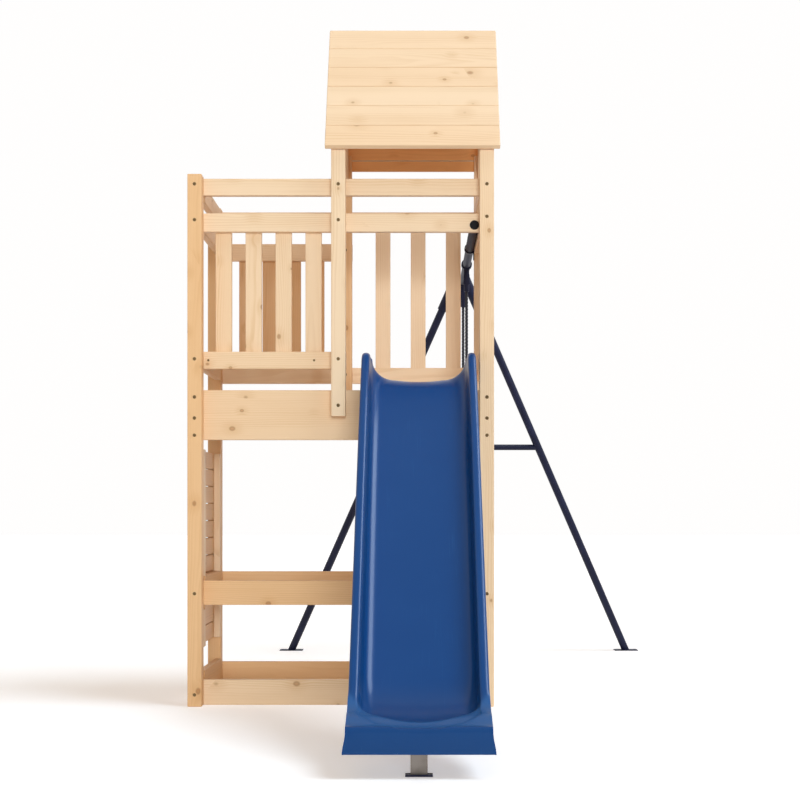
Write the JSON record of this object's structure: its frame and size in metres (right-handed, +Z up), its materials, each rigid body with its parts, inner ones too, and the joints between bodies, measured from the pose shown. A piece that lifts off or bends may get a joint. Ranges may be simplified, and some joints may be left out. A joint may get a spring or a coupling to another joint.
{
  "type": "climbing frame",
  "caption": "Wooden play tower with a gable roof, climbing wall, moulded slide and a swing hung from a tubular A-frame, for children to climb, slide and swing.",
  "frame": {"origin": "middle of the footprint's bounding box, on the ground", "axes": "+Z up; the slide runs towards -Y and the swing stands towards +Y; +X to the right seen from the slide"},
  "size_m": [1.7586, 3.0822, 2.2617],
  "materials": {
    "pine": "planed, unfinished, satin",
    "slide_blue": "moulded, soft gloss",
    "tube_black": "powder coat, blue-black",
    "leg_steel": "bare galvanised",
    "cap_black": "moulded, matt",
    "rope_black": "twisted rope",
    "seat_black": "moulded, fine grain",
    "hold_blue": "moulded, sandy",
    "bolt_steel": "zinc plated"
  },
  "bodies": {
    "frame": {"left_front_post": "pine", "left_back_post": "pine", "middle_front_post": "pine", "middle_back_post": "pine", "right_front_post": "pine", "right_back_post": "pine", "front_top_rail": "pine", "front_second_rail": "pine", "front_lower_rail": "pine", "front_deck_beam": "pine", "front_mid_rail": "pine", "front_bottom_rail": "pine", "back_top_rail": "pine", "back_second_rail": "pine", "back_lower_rail": "pine", "back_deck_beam": "pine", "back_mid_rail": "pine", "back_bottom_rail": "pine", "left_top_rail": "pine", "left_second_rail": "pine", "left_lower_rail": "pine", "left_deck_beam": "pine", "left_mid_rail": "pine", "left_bottom_rail": "pine", "right_top_rail": "pine", "right_second_rail": "pine", "right_lower_rail": "pine", "right_deck_beam": "pine", "right_mid_rail": "pine", "right_bottom_rail": "pine", "front_balusters": "pine", "back_left_balusters": "pine", "back_right_balusters": "pine", "right_balusters": "pine", "climbing_boards": "pine", "climbing_cleats": "pine", "climbing_holds": "hold_blue", "deck_boards": "pine", "deck_joists": "pine", "roof_front_boards": "pine", "roof_back_boards": "pine", "roof_rafters": "pine", "slide_chute": "slide_blue", "slide_leg": "leg_steel", "slide_foot_plate": "tube_black", "slide_screws": "bolt_steel", "swing_beam": "tube_black", "beam_end_caps": "cap_black", "beam_saddle": "tube_black", "a_frame_head": "tube_black", "a_frame_left_leg": "tube_black", "a_frame_right_leg": "tube_black", "a_frame_crossbar": "tube_black", "a_frame_foot_plates": "tube_black", "swing_hangers": "tube_black", "frame_bolts": "bolt_steel"},
    "swing": {"swing_shackles": "tube_black", "swing_ropes": "rope_black", "swing_seat": "seat_black"}
  },
  "joints": [
    {"name": "swing_pivot", "type": "hinge", "parent": "frame", "child": "swing", "pos_m": [0.0713, 0.66611, 1.519], "axis": [0, 1, 0], "range_deg": [-50, 50]}
  ]
}
